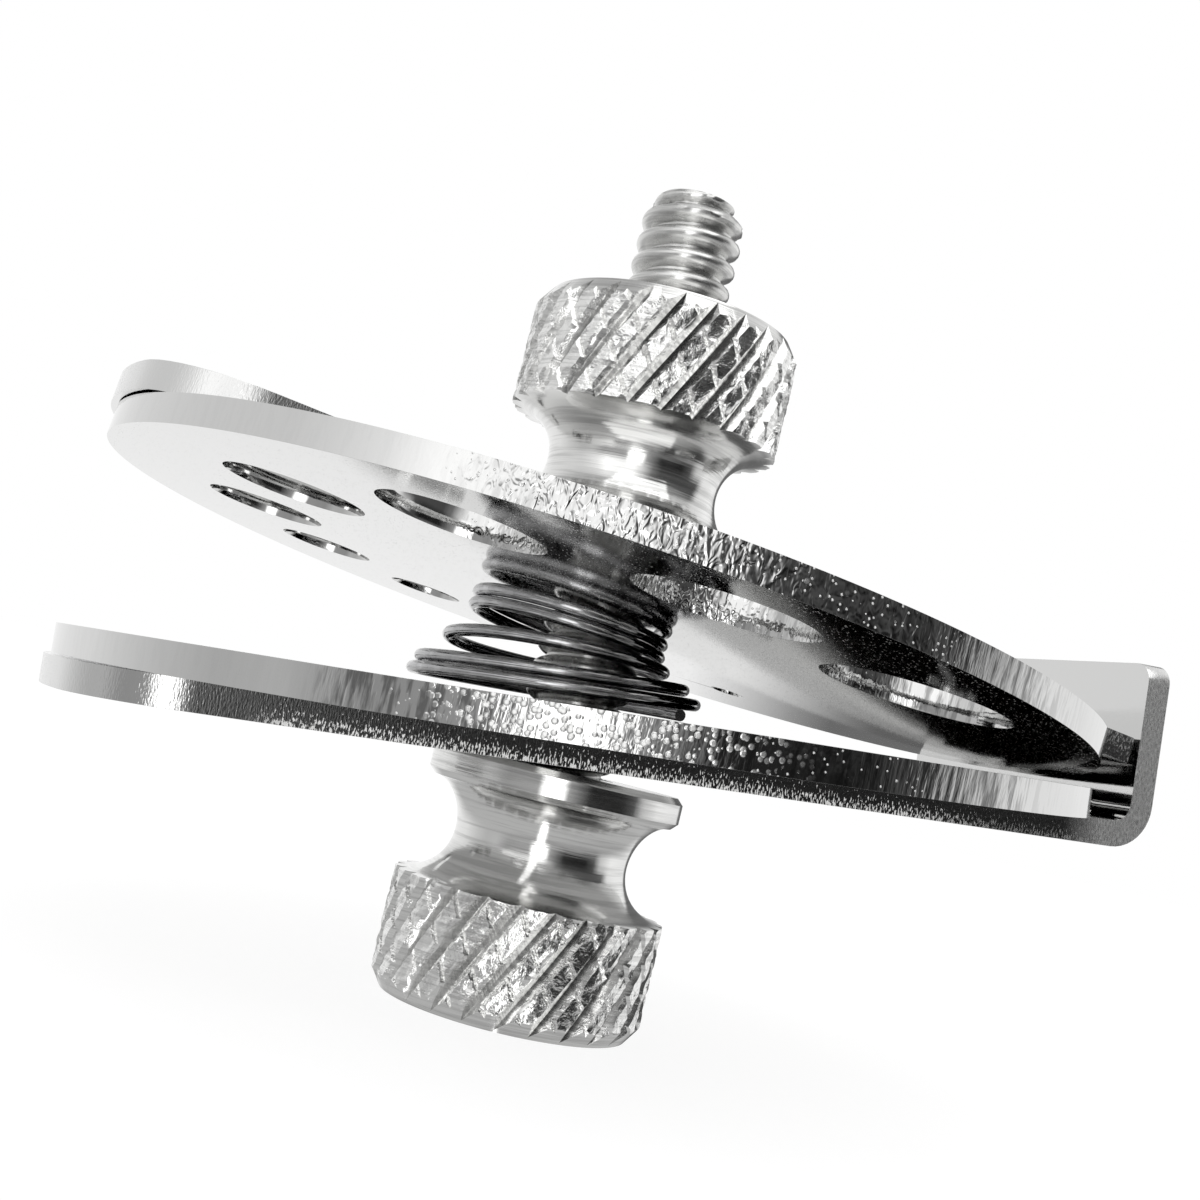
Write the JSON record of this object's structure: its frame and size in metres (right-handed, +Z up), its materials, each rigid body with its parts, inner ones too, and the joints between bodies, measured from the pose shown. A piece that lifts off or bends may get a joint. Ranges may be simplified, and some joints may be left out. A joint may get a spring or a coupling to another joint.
{
  "type": "pearl vise",
  "caption": "Small bead-drilling vise: two hinged strips carry turning discs with graduated holes, closed by a knurled thumb nut on a screw with a conical spring.",
  "frame": {"origin": "Centre of the lower knob's flat end face, on the screw's axis, which is what the vise stands on.", "axes": "+Z up along the screw; the jaws open towards -X and hinge at +X; +Y across the strips."},
  "size_m": [0.0485, 0.045, 0.0378],
  "materials": {
    "disc_plate": "bright plate, flat faces mirror-like, stamped edges slightly rough",
    "strip_plate": "bright plate over sheet steel",
    "screw_steel": "bright turned thread",
    "knob_plate": "satin turned, knurled band",
    "spring_steel": "black spring steel, semi-gloss"
  },
  "bodies": {
    "lower_strip": {"lower_strip": "strip_plate", "spring": "spring_steel"},
    "lower_disc": {"lower_disc": "disc_plate"},
    "upper_strip": {"upper_strip": "strip_plate"},
    "upper_disc": {"upper_disc": "disc_plate"},
    "screw": {"screw": "screw_steel", "lower_knob": "knob_plate"},
    "thumb_nut": {"thumb_nut": "knob_plate"}
  },
  "joints": [
    {"name": "nut_travel", "type": "slide", "parent": "lower_strip", "child": "thumb_nut", "axis": [0, 0, 1], "range_m": [-0.00262, 0.00313]},
    {"name": "knob_turn", "type": "hinge", "parent": "lower_strip", "child": "screw", "pos_m": [0, 0, 0], "axis": [0, 0, 1], "range_deg": [-1066, 893]},
    {"name": "jaw_open", "type": "hinge", "parent": "lower_strip", "child": "upper_strip", "pos_m": [0.02401, 0, 0.0178], "axis": [0, 1, 0], "range_deg": [-5.01, 6], "deforming": ["spring"]},
    {"name": "upper_disc_turn", "type": "hinge", "parent": "upper_strip", "child": "upper_disc", "pos_m": [0, 0, 0.01803], "axis": [0.0863, 0, 0.9963], "continuous": true},
    {"name": "lower_disc_turn", "type": "hinge", "parent": "lower_strip", "child": "lower_disc", "pos_m": [0, 0, 0.01395], "axis": [-0.0863, 0, 0.9963], "continuous": true}
  ],
  "couplings": [
    {"joint": "knob_turn", "follows": "nut_travel", "rad_per_m": -5936.9},
    {"joint": "jaw_open", "follows": "nut_travel", "rad_per_m": 33.223}
  ]
}
